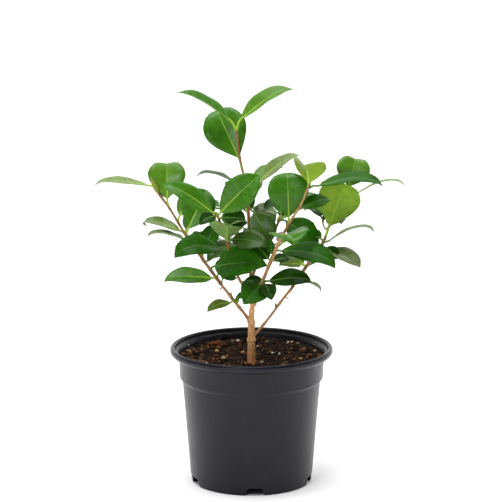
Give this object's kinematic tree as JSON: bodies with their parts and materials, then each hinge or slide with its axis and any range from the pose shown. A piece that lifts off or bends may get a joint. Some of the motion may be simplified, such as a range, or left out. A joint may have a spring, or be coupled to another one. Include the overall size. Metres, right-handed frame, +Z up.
{
  "type": "camellia shrub in a nursery pot",
  "caption": "Young camellia shrub with a short trunk, spreading boughs and glossy oval leaves, growing in a round black nursery pot that stands on its flat underside.",
  "frame": {"origin": "middle of the pot's flat underside, on the surface it stands on", "axes": "+Z up, +X to the right of a viewer who faces the plant's front, -Y toward that viewer"},
  "size_m": [0.2861, 0.1543, 0.3721],
  "materials": {
    "pot_plastic": "satin black polypropylene, a little glossier on the rolled rim",
    "potting_mix": "moist dark peat with crumbs of bark and a few white perlite grains",
    "trunk_bark": "thin light tan bark with fine dark vertical flecks",
    "young_bark": "smooth reddish brown young bark with small leaf scars",
    "foliage": "glossy mid to dark green leaves with paler midribs and paler, duller undersides"
  },
  "bodies": {
    "root": {"pot": "pot_plastic", "potting_mix": "potting_mix", "trunk": "trunk_bark", "leader": "young_bark", "bough_left": "young_bark", "bough_right": "young_bark", "bough_front_right": "young_bark", "bough_front_left": "young_bark", "bough_back_right": "young_bark", "bough_back_left": "young_bark", "leaves_top": "foliage", "leaves_left": "foliage", "leaves_low_left": "foliage", "leaves_front_left": "foliage", "leaves_low_front": "foliage", "leaves_front_right": "foliage", "leaves_right": "foliage", "leaves_back_right": "foliage", "leaves_back_left": "foliage"}
  },
  "joints": []
}
